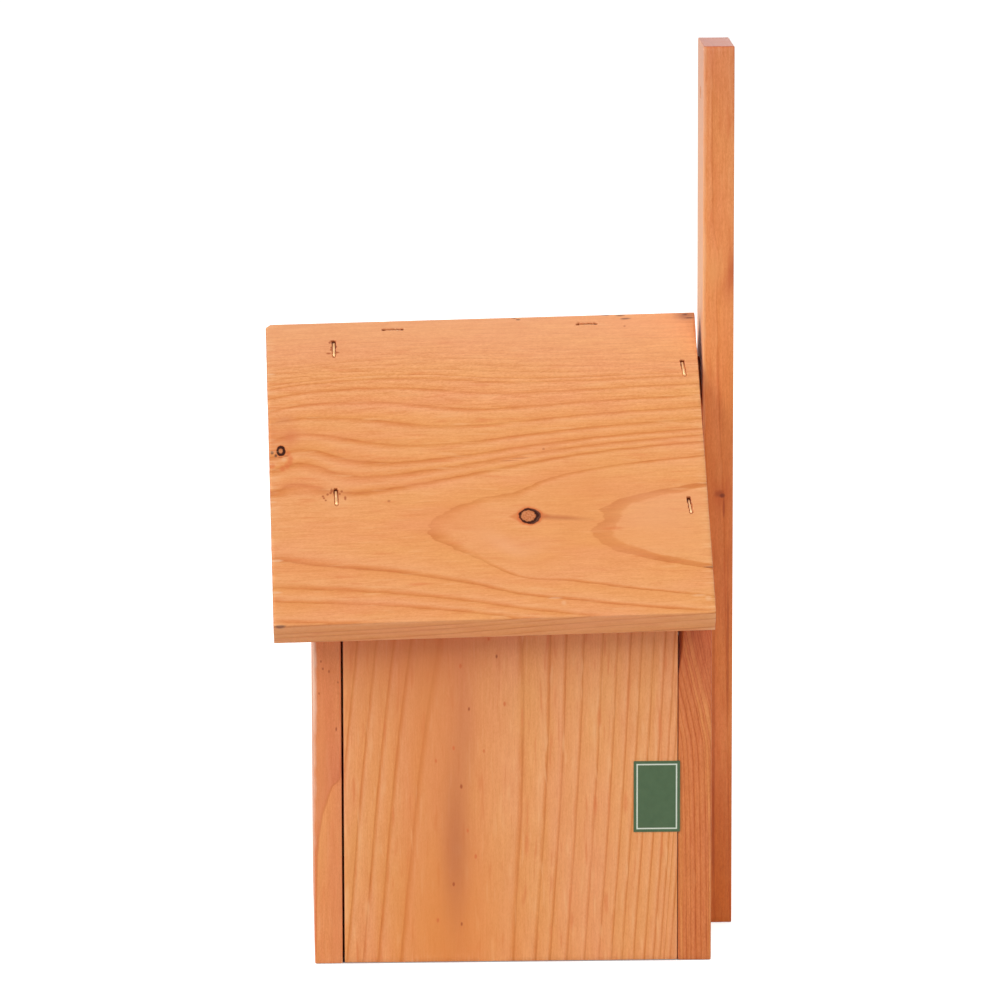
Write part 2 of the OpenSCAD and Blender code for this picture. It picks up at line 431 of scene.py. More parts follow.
def fibrous(colour, noises, v, board):
    # broad patches, then fibres and short streaks along the grain
    colour = dyed(colour, noises["patch"], "pink", wood["patches"])
    colour = dyed(colour, noises["patch"], "yellow", wood["patches"])
    fibre, fine = (spread(noises[kind], *where["fibre"], -wood["fibres"], wood["fibres"])
                   for kind in ("fibre", "fine"))
    grainy = polyline(v, board.get("grainy", [(0, 1.0)]))
    level = timesPlus(plus(fibre, fine), grainy, 1.0)
    mottle = spread(noises["mottle"], *usual, 1 - wood["mottle"], 1 + wood["mottle"])
    level = times(level, mottle)
    red, blue = (timesPlus(level, wood[name], 1 - wood[name]) for name in ("redShare", "blueShare"))
    light = put("CombineColor", {0: red, 1: level, 2: blue}).outputs[0]
    colour = mixed(1.0, colour, light, "MULTIPLY")
    streaky = board.get("streaky", wood["streaky"])
    colour = dyed(colour, noises["streak"], "streak", streaky)
    return dyed(colour, noises["streak"], "lightStreak", streaky)


def stainedAndLit(colour, u, v, w, board):
    # soft patches of colour: mostly stains in the wood, and on the roof's eave edge painted light
    for area in board.get("stainsAndLight", []):
        near = nearness(u, w if area["onEdge"] else v, area)
        colour = washed(times(near, area["amount"]), colour, area["colour"])
    return colour


def spot(inBoard, place, uneven, kind):
    away = vectorMaths("DIVIDE", vectorMaths("SUBTRACT", inBoard, place), kind["size"])
    away = plus(vectorMaths("LENGTH", away), uneven)
    return spread(away, *wood["spotEdge"], 0.0, kind["amount"])


def marked(colour, inBoard, mottle, board):
    # small spots with uneven outlines
    uneven = swing(mottle, 0.2)
    for kind in board.get("marks", []):
        spots = [spot(inBoard, place, uneven, kind) for place in kind["places"]]
        colour = washed(reduce(larger, spots), colour, wood[kind["colour"]])
    return colour


def sawnEnds(colour, u, fibre, board):
    # torn fibres catch the light where the saw came through an end
    toEnd = maths("MINIMUM", u, minus(board["size"][0], u))
    fuzz = times(spread(toEnd, wood["fuzzReach"], 0.0), spread(fibre, *where["fuzz"]))
    return washed(times(fuzz, board.get("fuzz", wood["fuzzy"])), colour, wood["fuzz"])


def endGrain(colour, along):
    normal = put("TexCoord").outputs["Normal"]
    facing = maths("ABSOLUTE", vectorMaths("DOT_PRODUCT", normal, along))
    cutAcross = spread(facing, *wood["cutAcross"])
    darker = washed(1.0, colour, wood["endGrain"], "MULTIPLY")
    return mixed(cutAcross, colour, darker), times(cutAcross, wood["dullEnd"])


tornAndShadeLook = {                        # by how far the wood is torn and shaded, from 0 to 1; the shade in a groove is painted
    "edge": 0.35,                   # up to here it has the edge's colour
    "deep": 0.8,
    "shows": (0.12, 0.6),
    "dulls": (0.3, 0.7),
}


def tornAndShadedWood(colour):
    # the staples' grooves: torn wood at their edges, and painted shade in the hollow, darkest at the
    # deep end
    tornAndShade = put("Attribute", attribute_name="tornAndShade").outputs["Fac"]
    tones = [(tornAndShadeLook["edge"], wood["tornEdge"]), (tornAndShadeLook["deep"], wood["tornDeepAndShade"])]
    colour = mixed(spread(tornAndShade, *tornAndShadeLook["shows"]), colour, ramp(tornAndShade, tones))
    return colour, spread(tornAndShade, *tornAndShadeLook["dulls"])


def tonedAndShaded(colour, u, radius, board):
    if "tone" in board:                 # one ring parts two tones of wood
        middle, half = board["tone"]["radius"], board["tone"]["half"]
        share = spread(radius, middle - half, middle + half)
        tone = mixed(share, paint(*board["tone"]["inner"]), paint(*board["tone"]["outer"]))
        colour = mixed(1.0, colour, tone, "MULTIPLY")
    # painted shade along some boards: darker under the eave on the door and the back board, and darker
    # and redder low on the batten beside the box; elsewhere the wood's own colour
    if "tintAndShade" in board:                 # it changes along the board
        lowU, highU = board["tintAndShade"][0][0], board["tintAndShade"][-1][0]
        stops = [((at - lowU) / (highU - lowU), tone) for at, tone in board["tintAndShade"]]
        colour = mixed(1.0, colour, ramp(spread(u, lowU, highU), stops), "MULTIPLY")
    return colour


def woodShader(colour, dull, noises):
    fibre = noises["fibre"]
    height = plus(*(times(part, deep) for part, deep in zip((fibre, noises["fine"]), wood["relief"])))
    sheen, sheenRough = wood["sheen"]
    values = {
        "Base Color": colour,
        "Roughness": spread(fibre, *usual, *wood["roughness"]),
        "Specular IOR Level": spread(dull, 0.0, 1.0, *wood["gloss"]),
        "Sheen Weight": sheen,
        "Sheen Roughness": sheenRough,
    }
    finishShader(values, height, wood["bump"])


def woodMaterial(name, board, place):
    material = begin(bpy.data.materials.new(name))
    turn = place.to_3x3().normalized().to_euler("XYZ")
    inBoard = ownPoint(place.translation, turn)
    seed = board["seed"] * seedStep
    shifted = vectorMaths("ADD", inBoard, (seed, seed * 0.7, seed * 0.4))
    kinds = ("patch", "mottle", "fibre", "fine", "streak")
    noises = {kind: grainNoise(shifted, kind) for kind in kinds}
    moved = wandered(inBoard, shifted, board)
    u, v, w = pushedAside(moved, board)
    across, radius = fromPith(u, v, w, board)
    colour = ringColour(ringCount(across, radius, board), radius, board)
    colour = fibrous(colour, noises, moved[1], board)
    colour = stainedAndLit(colour, u, v, w, board)
    colour = marked(colour, inBoard, noises["mottle"], board)

    # knots, end grain and torn wood are dull as well
    parts = put("SeparateXYZ", {0: inBoard}).outputs
    dull = 0.0
    for knot in board.get("knots", []):
        if "size" in knot:              # one without a size only pushes the grain
            colour, inside = paintKnot(colour, parts, knot)
            dull = larger(dull, inside)
    colour = sawnEnds(colour, parts[0], noises["fibre"], board)
    colour, cutAcross = endGrain(colour, place.to_3x3().col[0].normalized())
    dull = larger(dull, cutAcross)
    if board.get("staples"):
        colour, inside = tornAndShadedWood(colour)
        dull = larger(dull, inside)
    colour = tonedAndShaded(colour, parts[0], radius, board)
    woodShader(colour, dull, noises)
    return material


knotLook = {                        # in the knot's own half widths
    "eye": (2.3, 1.45),             # half length and half width of the pointed eye round it
    "halo": (1.36, 1.08),           # from where to where the bright ring gets strong
    "haloAmount": 0.6,
    "point": 0.3,                   # over this much the eye fades in from its outline
    "broad": (1.3, 1.0),            # scale and detail of the noises in its outline
    "rough": (4.5, 3.0),
    "change": (0.08, 0.025),        # and how much each one moves it
    "bark": (1.07, 0.96),           # from where to where the bark gets full
    "core": 0.78,                   # the heart inside the bark
    "heartEdge": (-0.07, 0.05),     # from its edge, where the bark's colour starts and is full
    "heartUneven": 0.08,
    "lopsided": (0.06, 0.0),
    "secondBark": 0.9,              # middle of the paler line in the bark
    "secondFade": (0.09, 0.02),     # from where to where beside its middle it fades in
    "secondAmount": 0.6,
    "secondFrom": 0.5,              # along the grain it is full from here
    "tailWidth": (2.6, 1.6),        # mm, at the knot and at the tail's end
    "tailEdge": (1.0, 0.1),         # across it, in its own width
    "tailStart": 1.6,               # it is full from here
    "tailFades": 0.5,               # and up to this part of its length
    "tailAmount": 0.6,
}


def knotHalo(colour, du, ds, away, knot):
    # an eye with a point along the grain each way, and a thin bright ring
    amount = knot.get("halo", knotLook["haloAmount"])
    wide, high = (over(maths("ABSOLUTE", offset), size * reach)
                  for offset, size, reach in zip((du, ds), knot["size"], knotLook["eye"]))
    point = minus(1.0, plus(wide, high))
    eye = times(spread(point, 0.0, knotLook["point"], kind="SMOOTHSTEP"), amount)
    colour = washed(eye, colour, wood["eye"])
    near = spread(away, *knotLook["halo"], kind="SMOOTHSTEP")
    return washed(times(near, amount), colour, wood["halo"])


def knotTail(colour, du, ds, knot):
    # a dark line that runs out of the knot and along the grain
    sizeU, tail = knot["size"][0], knot["tail"]
    aside = maths("ABSOLUTE", minus(ds, times(du, knot["tailLean"])))
    width = spread(du, sizeU, tail, *knotLook["tailWidth"])
    thin = spread(over(aside, width), *knotLook["tailEdge"])
    fadeOut = spread(du, tail, tail * knotLook["tailFades"])
    reach = times(fadeOut, spread(du, 0.0, sizeU * knotLook["tailStart"]))
    line = times(times(thin, reach), knotLook["tailAmount"])
    return washed(line, colour, wood["tornEdge"])


def knotInside(du, scaled, away, rough, knot):
    # the heart, and the bark round it
    core = knot.get("core", knotLook["core"])
    lopsided = knot.get("lopsided", knotLook["lopsided"])
    heartAway = vectorMaths("LENGTH", vectorMaths("ADD", scaled, (*lopsided, 0)))
    heartAway = plus(heartAway, swing(rough, knotLook["heartUneven"]))
    heart = dyed(paint(*wood["heart"]), rough, "heartPale", 1.0)
    edge = [core + change for change in knotLook["heartEdge"]]
    inner = washed(spread(heartAway, *edge), heart, wood["bark"])
    if knot.get("double"):              # a paler line runs through the thick side of the bark
        arc = maths("ABSOLUTE", minus(away, knotLook["secondBark"]))
        arc = spread(arc, *knotLook["secondFade"], 0.0, knotLook["secondAmount"])
        there = spread(du, 0.0, knot["size"][0] * knotLook["secondFrom"])
        inner = washed(times(arc, there), inner, wood["barkPale"])
    return inner


def paintKnot(colour, parts, knot):
    du = minus(parts[0], knot["at"][0])
    ds = minus(parts[1], knot["at"][1])
    scaled = [over(offset, size) for offset, size in zip((du, ds), knot["size"])]
    scaled = put("CombineXYZ", dict(enumerate(scaled))).outputs[0]
    # every knot reads its own part of the noises
    around = vectorMaths("ADD", scaled, (knot["at"][0] * 0.37, knot["at"][1] * 0.53, 0))
    broad, rough = (noisy(around, *knotLook[kind]) for kind in ("broad", "rough"))
    away = vectorMaths("LENGTH", scaled)
    for uneven, change in zip((broad, rough), knotLook["change"]):
        away = plus(away, swing(uneven, change))
    colour = knotHalo(colour, du, ds, away, knot)
    if "tail" in knot:
        colour = knotTail(colour, du, ds, knot)
    inner = knotInside(du, scaled, away, rough, knot)
    inside = spread(away, *knotLook["bark"])
    return mixed(inside, colour, inner), inside


# Boards. They are sawn from a block: sloping ends are cut off, every arris is eased, a grid is cut
# into the faces, and the surface is roughened inwards.

def cutAway(bm, point, outward):
    everything = bm.verts[:] + bm.edges[:] + bm.faces[:]
    cut = bmesh.ops.bisect_plane(bm, geom=everything, plane_co=point, plane_no=outward,
                                 clear_outer=True)
    rim = [part for part in cut["geom_cut"] if isinstance(part, bmesh.types.BMEdge)]
    bmesh.ops.holes_fill(bm, edges=rim, sides=0)


def layGrid(bm, start, end, steps):
    for axis, step in enumerate(steps):
        count = max(1, round((end[axis] - start[axis]) / step))
        direction = Vector((axis == 0, axis == 1, axis == 2))
        for n in range(1, count):
            at = start[axis] + (end[axis] - start[axis]) * n / count
            everything = bm.verts[:] + bm.edges[:] + bm.faces[:]
            bmesh.ops.bisect_plane(bm, geom=everything, plane_co=direction * at, plane_no=direction)


def refine(bm, at, reach, step):
    # cuts the outer face round a place into small squares
    faces = [f for f in bm.faces if f.normal.z < -0.9 and
             all(abs(f.calc_center_median()[k] - at[k]) < reach + 2 for k in (0, 1))]
    patch = list({part for f in faces for part in (*f.verts, *f.edges)}) + faces
    for axis in (0, 1):
        direction = Vector((axis == 0, axis == 1, 0))
        for n in range(round(2 * reach / step) + 1):
            point = direction * (at[axis] - reach + n * step)
            patch = bmesh.ops.bisect_plane(bm, geom=patch, plane_co=point, plane_no=direction)["geom"]


wear = {                            # mm
    "face": 0.07,                   # unevenness of a planed face
    "nick": 0.6,                    # depth of the deepest nicks in an arris
    "nickFrom": 0.2,                # only the noise above this makes one
    "tooth": 0.45,                  # share of the saw's fine marks in an end, beside its slow waves
    "arris": 0.42,                  # how far a normal on an arris leans away from its faces
    "flatSize": (60, 24, 24),       # sizes of the noise along, across and into the board
    "toothSize": (9, 3.5, 3.5),
    "waveSize": (50, 30, 50),
    "nickSize": (7, 7, 3),
}


def hills(at, size, shift):
    # from -1 to 1
    return noise.noise(Vector((at.x / size[0] + shift[0], at.y / size[1] + shift[1], at.z / size[2])))


def waneMove(at, board):
    # bark side left on the inner edge: at the low end of the width, under the inner face
    wane = board["wane"]
    share = math.sin(math.pi * (at.x - wane["from"]) / (wane["to"] - wane["from"]))
    near = max(0.0, 1 - (at.y - board["start"][1]) / wane["wide"])
    return Vector((0, 0, wane["deep"] * near * share * (at.z / board["size"][2]) ** 2))


def roughen(bm, board):
    # takes a little off everywhere, more at the ends and in the nicks of an arris
    bm.normal_update()
    seed, wane = board["seed"] * 13.7, board.get("wane")
    moves = []
    for vert in bm.verts:
        at, out = vert.co, vert.normal
        flat = 0.5 + 0.5 * hills(at, wear["flatSize"], (seed, 0))
        tooth = 0.5 + 0.5 * hills(at, wear["toothSize"], (0, seed))
        wave = 0.5 + 0.5 * hills(at, wear["waveSize"], (0, seed))
        nick = max(0.0, hills(at, wear["nickSize"], (seed, 0)) - wear["nickFrom"])
        arris = max(0.0, 1 - max(abs(out.x), abs(out.y), abs(out.z))) / wear["arris"]
        sawn = abs(out.x) * board["saw"] * (wear["tooth"] * tooth + (1 - wear["tooth"]) * wave)
        move = out * (wear["face"] * flat + sawn + arris * wear["nick"] * nick)
        if wane and out.z > -0.5 and wane["from"] < at.x < wane["to"]:
            move += waneMove(at, board)
        moves.append(move)
    for vert, move in zip(bm.verts, moves):
        vert.co -= move


press = {                           # what a staple does to the wood, mm
    "reach": 9,
    "deep": 3,                      # no further from the outer face than this
    "groove": 0.35,                 # depth under the crown
    "deepEnd": 0.8,                 # and this much more at its deep end
    "tear": 0.6,
    "uneven": 0.9,                  # per mm, of the noise in the tears
    "shade": (0.5, 0.6),            # of the groove, and this much more at its deep end
    "slitShade": 0.8,
    "mottled": 0.3,
    "noseAside": 5.0,               # the marks of the driver's nose, beside the crown
    "noseAlong": 0.6,
    "noseHalf": (1.7, 0.6),
    "noseLean": 0.35,
    "noseShade": (1.2, 2.4),        # even and feathered
    "noseDark": 0.42,               # at most
    "fine": (7.5, 0.42),            # how far round it the face is cut finely, and into what squares
}


def grooveAt(a, b, deepEnd, uneven, staple):
    # 1 in the groove and 0 outside; the wood has closed to a slit over a crown that is driven deep
    half, wire = wireStaple["width"] / 2, wireStaple["wire"] / 2
    slitSway, slitEdge, slitRagged = 0.25, 0.5, 0.3
    edge, tornEdge, tornDeepEnd, ragged, level = 0.2, 0.2, 0.45, 1.2, 1.3
    if staple.get("slit"):
        outside = math.hypot(max(0.0, abs(a) - half), b + slitSway * uneven)
        margin = slitEdge + slitRagged * uneven
    else:
        outside = max(0.0, math.hypot(max(0.0, abs(a) - half + wire), b) - wire)
        tear = staple.get("tear", press["tear"])
        margin = edge + tear * (tornEdge + tornDeepEnd * deepEnd ** 6) * (1 + ragged * uneven)
    return min(1.0, max(0.0, level - outside / max(edge, margin)))


def noseMark(a, b, uneven):
    # the driver's nose presses a faint feathered mark on each side
    length, width = press["noseHalf"]
    even, feathered = press["noseShade"]
    level = 0.0
    for aside in (-press["noseAside"], press["noseAside"]):
        offLine = b - aside + press["noseLean"] * a
        near = 1 - math.hypot((a - press["noseAlong"]) / length, offLine / width)
        level = max(level, near * (even + feathered * uneven))
    return level


def pressStaple(bm, tornAndShade, staple):
    turn, middle = math.radians(staple["turn"]), Vector(staple["at"])
    along, aside = Vector((math.cos(turn), math.sin(turn))), Vector((-math.sin(turn), math.cos(turn)))
    perMm, (grooveShade, endShade) = press["uneven"], press["shade"]
    for vert in bm.verts:
        at = vert.co
        if at.z > press["deep"] or any(abs(at[k] - staple["at"][k]) > press["reach"] for k in (0, 1)):
            continue
        offset = at.xy - middle
        a, b = offset.dot(along), offset.dot(aside)
        deepEnd = min(1.0, max(0.0, 0.5 - a / wireStaple["width"]))
        uneven = noise.noise(Vector((at.x * perMm, at.y * perMm, staple["at"][1])))
        groove = grooveAt(a, b, deepEnd, uneven, staple)
        depth = press["groove"] + staple.get("dip", 0.0) * deepEnd + press["deepEnd"] * deepEnd ** 3
        at.z += groove * (depth + staple.get("sunk", 0.0))
        # painted shade in the groove, more at the deep end where the crown is driven in, on top of the
        # torn wood's colour
        shade = press["slitShade"] if staple.get("slit") else grooveShade + endShade * deepEnd ** 4
        faint = min(press["noseDark"], noseMark(a, b, uneven) * staple.get("marks", 0.0))
        dark = min(1.0, groove * (shade + press["mottled"] * uneven))
        vert[tornAndShade] = max(vert[tornAndShade], dark, faint)


def drilled(bm, cutters):
    # takes turned shapes out of a board
    work = bpy.data.objects.new("work", bpy.data.meshes.new("work"))
    tool = bpy.data.objects.new("tool", bpy.data.meshes.new("tool"))
    for thing in (work, tool):
        bpy.context.scene.collection.objects.link(thing)
    bm.to_mesh(work.data)
    shape = bmesh.new()
    for cutter in cutters:
        turned(shape, cutter["profile"], cutter["at"], cutter["down"], cutter.get("segments", 48))
    shape.to_mesh(tool.data)
    shape.free()
    cut = work.modifiers.new("cut", "BOOLEAN")
    cut.operation, cut.object, cut.solver = "DIFFERENCE", tool, "EXACT"
    bpy.context.view_layer.update()
    result = bpy.data.meshes.new_from_object(work.evaluated_get(bpy.context.evaluated_depsgraph_get()))
    bm.clear()
    bm.from_mesh(result)
    for thing in (work, tool):
        mesh = thing.data
        bpy.data.objects.remove(thing)
        bpy.data.meshes.remove(mesh)
    bpy.data.meshes.remove(result)
    return bm


def turned(bm, profile, at, down, segments):
    # spins a profile of (radius, depth) points round a line that starts at a point and runs down
    known = set(bm.verts)
    line = [bm.verts.new((radius, 0, depth)) for radius, depth in profile]
    edges = [bm.edges.new(pair) for pair in zip(line, line[1:])]
    bmesh.ops.spin(bm, geom=line + edges, axis=(0, 0, 1), cent=(0, 0, 0), angle=math.tau,
                   steps=segments, use_merge=True)
    bmesh.ops.remove_doubles(bm, verts=[v for v in bm.verts if v not in known], dist=0.0005)
    verts = [v for v in bm.verts if v not in known]
    bmesh.ops.recalc_face_normals(bm, faces=[f for f in bm.faces if f.verts[0] not in known])
    turn = Vector(down).to_track_quat("Z", "Y").to_matrix()
    bmesh.ops.rotate(bm, verts=verts, cent=(0, 0, 0), matrix=turn)
    bmesh.ops.translate(bm, verts=verts, vec=at)


sharpFrom = math.radians(40)


def newPiece(name, bm, place, material, body, nodes, smooth=True):
    mesh = bpy.data.meshes.new(name)
    bm.to_mesh(mesh)
    bm.free()
    mesh.transform(place)
    if smooth:
        mesh.shade_smooth()
        mesh.set_sharp_from_angle(angle=sharpFrom)
    piece = bpy.data.objects.new(name, mesh)
    bpy.context.scene.collection.objects.link(piece)
    mesh.materials.append(material)
    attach(piece, body)
    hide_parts(*nodes)
    return piece


def sawBoard(name, board, place, body, node):
    bm = bmesh.new()
    start = Vector(board.get("start", (0, 0, 0)))
    end = start + Vector(board["size"])
    bmesh.ops.create_cube(bm, size=1)
    bmesh.ops.scale(bm, vec=board["size"], verts=bm.verts)
    bmesh.ops.translate(bm, vec=(start + end) / 2, verts=bm.verts)
    for point, outward in board.get("cuts", []):
        cutAway(bm, point, outward)
    bmesh.ops.bevel(bm, geom=bm.edges[:], offset=board["arris"], segments=3, profile=0.5,
                    affect="EDGES", material=-1, clamp_overlap=True)
    layGrid(bm, start, end, board["grid"])
    tornAndShade = bm.verts.layers.float.new("tornAndShade")
    staples = board.get("staples", [])
    bm.normal_update()
    for staple in staples:
        refine(bm, staple["at"], *press["fine"])
    roughen(bm, board)
    for staple in staples:
        pressStaple(bm, tornAndShade, staple)
    if board.get("holes"):
        bm = drilled(bm, board["holes"])
    material = woodMaterial(name + "Wood", board, place)
    piece = newPiece(name, bm, place, material, body, [node])
    print(name, len(piece.data.polygons), "faces")


# Staples, of flattened wire with a resin coat

wireStaple = {
    "width": 11,
    "wire": 1.6,
    "leg": 38,
    "proud": 0.35,         # of the crown above the wood
    "corner": 1.3,         # radius at the middle of the wire
    "bends": 5,            # steps in a corner
    "sides": 12,
    "round": 1.06,         # makes up for the flats between the sides
}


def extruded(bm, loop):
    grown = bmesh.ops.extrude_edge_only(bm, edges=loop)["geom"]
    verts = [part for part in grown if isinstance(part, bmesh.types.BMVert)]
    edges = [part for part in grown if isinstance(part, bmesh.types.BMEdge) and
             all(v in verts for v in part.verts)]
    return edges, verts


def straight(bm, loop, move):
    loop, verts = extruded(bm, loop)
    bmesh.ops.translate(bm, verts=verts, vec=move)
    return loop


def bend(bm, loop, centre):
    turn = Matrix.Rotation(math.radians(-90 / wireStaple["bends"]), 3, "Y")
    for n in range(wireStaple["bends"]):
        loop, verts = extruded(bm, loop)
        bmesh.ops.rotate(bm, verts=verts, cent=centre, matrix=turn)
    return loop


def bendStaple(bm):
    # up one leg, along the crown and down the other leg
    half = wireStaple["wire"] / 2
    side = wireStaple["width"] / 2 - half
    radius, leg = wireStaple["corner"], wireStaple["leg"]
    ring = bmesh.ops.create_circle(bm, cap_ends=True, radius=half * wireStaple["round"],
                                    segments=wireStaple["sides"])["verts"]
    bmesh.ops.translate(bm, verts=ring, vec=(-side, 0, leg))
    loop = straight(bm, ring[0].link_faces[0].edges[:], (0, 0, half + radius - leg))
    loop = bend(bm, loop, (radius - side, 0, half + radius))
    loop = straight(bm, loop, (2 * (side - radius), 0, 0))
    loop = bend(bm, loop, (side - radius, 0, half + radius))
    loop = straight(bm, loop, (0, 0, leg - half - radius))
    bmesh.ops.contextual_create(bm, geom=loop)


def drivenStaples(name, staples, place, body, node):
    whole = bmesh.new()
    for staple in staples:
        bm = bmesh.new()
        bendStaple(bm)
        bmesh.ops.recalc_face_normals(bm, faces=bm.faces)
        # depth runs down into the wood, and the crown's top stands proud or is sunk
        lower = staple.get("sunk", -wireStaple["proud"])
        for vert in bm.verts:
            deepEnd = min(1.0, max(0.0, 0.5 - vert.co.x / wireStaple["width"]))
            deeper = vert.co.z + lower + deepEnd * staple.get("dip", 0.0)
            vert.co.z = min(deeper, wireStaple["leg"] - wireStaple["proud"])
        turn = Matrix.Rotation(math.radians(staple["turn"]), 4, "Z")
        bmesh.ops.transform(bm, verts=bm.verts, matrix=Matrix.Translation((*staple["at"], 0)) @ turn)
        mesh = bpy.data.meshes.new("one")
        bm.to_mesh(mesh)
        bm.free()
        whole.from_mesh(mesh)
        bpy.data.meshes.remove(mesh)
    newPiece(name, whole, place, stapleWire, body, [node])


metalLook = {
    "cloud": (3.0, 0.6),        # detail and roughness of the noise
    "scratch": (2.0, 0.7),
    "finer": 8,                 # the scratches than the clouds
    "wearAndSheen": (0.35, 0.65),       # from where to where in a cloud it looks worn
    "smoother": 0.08,           # in the scratches' noise
    "rougher": 0.1,
    "bump": 0.00003,
}


def metalMaterial(name, look):
    material = begin(bpy.data.materials.new(name))
    coords = put("TexCoord").outputs["Object"]
    cloud = noisy(coords, look["cloud"], *metalLook["cloud"])
    scratch = noisy(coords, look["cloud"] * metalLook["finer"], *metalLook["scratch"])
    colour = mixed(spread(cloud, *metalLook["wearAndSheen"]), paint(*look["colour"]), paint(*look["wearAndSheen"]))
    least, most = look["rough"] - metalLook["smoother"], look["rough"] + metalLook["rougher"]
    values = {"Base Color": colour, "Roughness": spread(scratch, *usual, least, most),
              "Metallic": look["metal"]}
    finishShader(values, scratch, metalLook["bump"])
    return material


stapleWire = metalMaterial("resinCoatedWire", {
    "colour": (242, 198, 150), "wearAndSheen": (222, 170, 118), "rough": 0.4, "metal": 0.85, "cloud": 420})
nailSteel = metalMaterial("nailSteel", {
    "colour": (176, 176, 172), "wearAndSheen": (140, 136, 130), "rough": 0.38, "metal": 1.0, "cloud": 500})
screwZinc = metalMaterial("screwZinc", {
    "colour": (214, 200, 158), "wearAndSheen": (190, 178, 140), "rough": 0.3, "metal": 1.0, "cloud": 500})


# The two roof boards

down, out = slopeOf(1)
frontEnd = ridgePoint - alongRidge * roof["frontOver"] * mm
doorRoofPlace = placeOf(frontEnd + (out - down) * roof["thick"] * mm, alongRidge, down)
